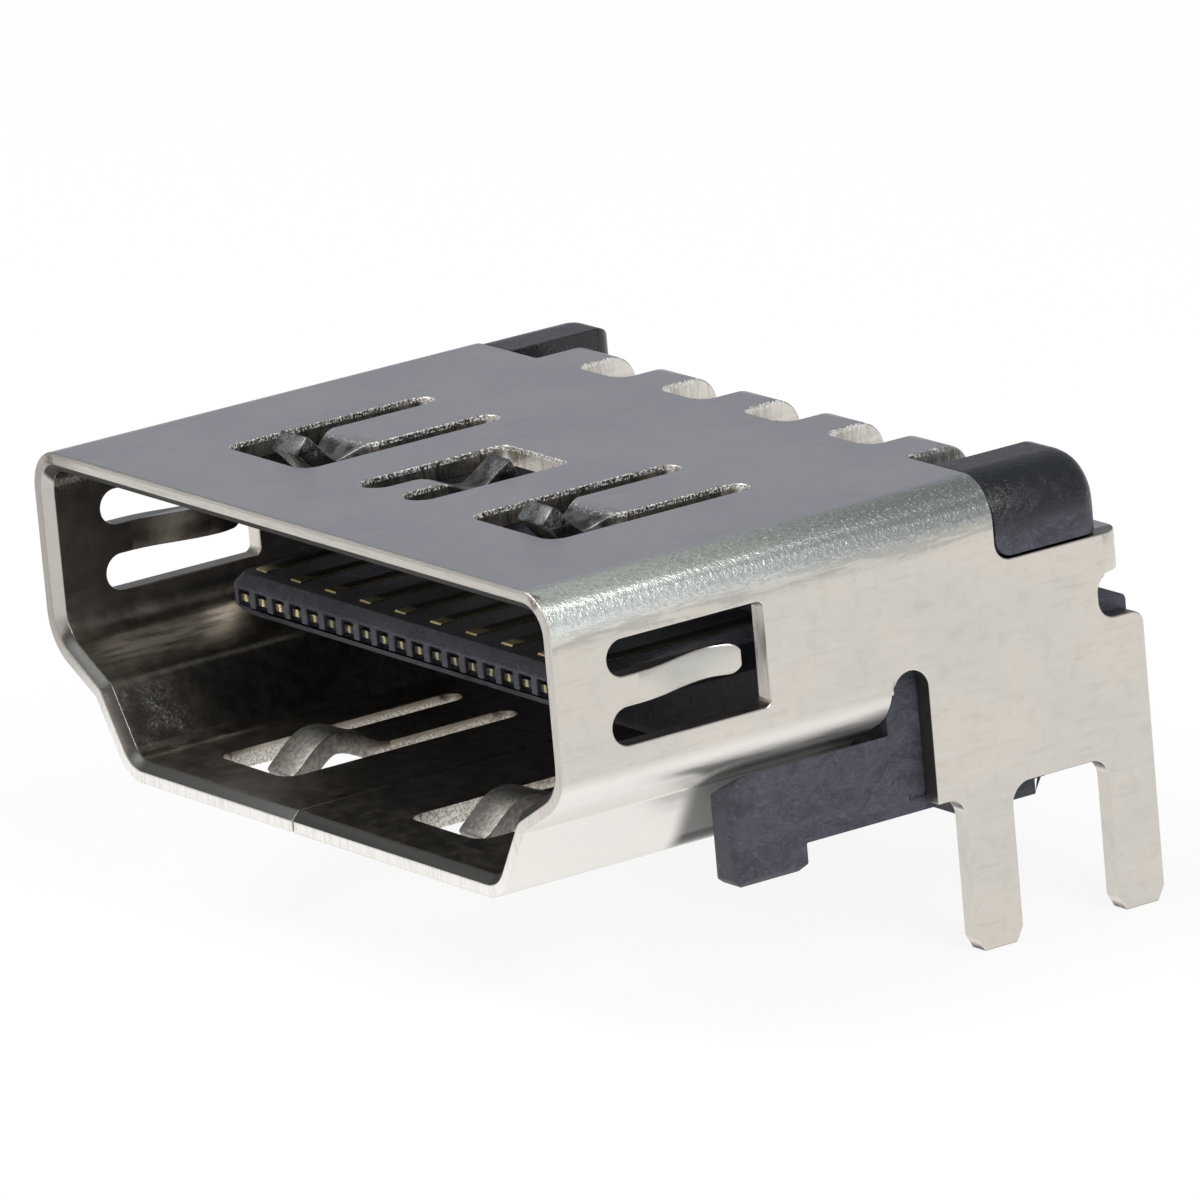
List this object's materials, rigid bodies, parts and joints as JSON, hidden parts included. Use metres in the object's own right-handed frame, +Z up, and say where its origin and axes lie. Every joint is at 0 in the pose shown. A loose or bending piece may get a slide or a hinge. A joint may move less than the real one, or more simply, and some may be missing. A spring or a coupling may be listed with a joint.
{
  "type": "board video socket",
  "caption": "Right-angle video socket for a circuit board: folded metal shell with spring fingers, plastic housing, and gold contacts on a thin blade.",
  "frame": {"origin": "on the board face, under the middle of the mouth's front edge", "axes": "+X to the right seen from the front, +Y from the mouth to the back, +Z up from the board"},
  "size_m": [0.0148, 0.0112, 0.0078],
  "materials": {
    "plated_sheet": "bright plated, fine stamped grain",
    "dark_plastic": "matte, dark blue grey, fibre filled",
    "gold_contact": "gold plated"
  },
  "bodies": {
    "root": {"shell": "plated_sheet", "housing": "dark_plastic", "tail_spacer": "dark_plastic", "contact_01": "gold_contact", "contact_02": "gold_contact", "contact_03": "gold_contact", "contact_04": "gold_contact", "contact_05": "gold_contact", "contact_06": "gold_contact", "contact_07": "gold_contact", "contact_08": "gold_contact", "contact_09": "gold_contact", "contact_10": "gold_contact", "contact_11": "gold_contact", "contact_12": "gold_contact", "contact_13": "gold_contact", "contact_14": "gold_contact", "contact_15": "gold_contact", "contact_16": "gold_contact", "contact_17": "gold_contact", "contact_18": "gold_contact", "contact_19": "gold_contact"}
  },
  "joints": []
}
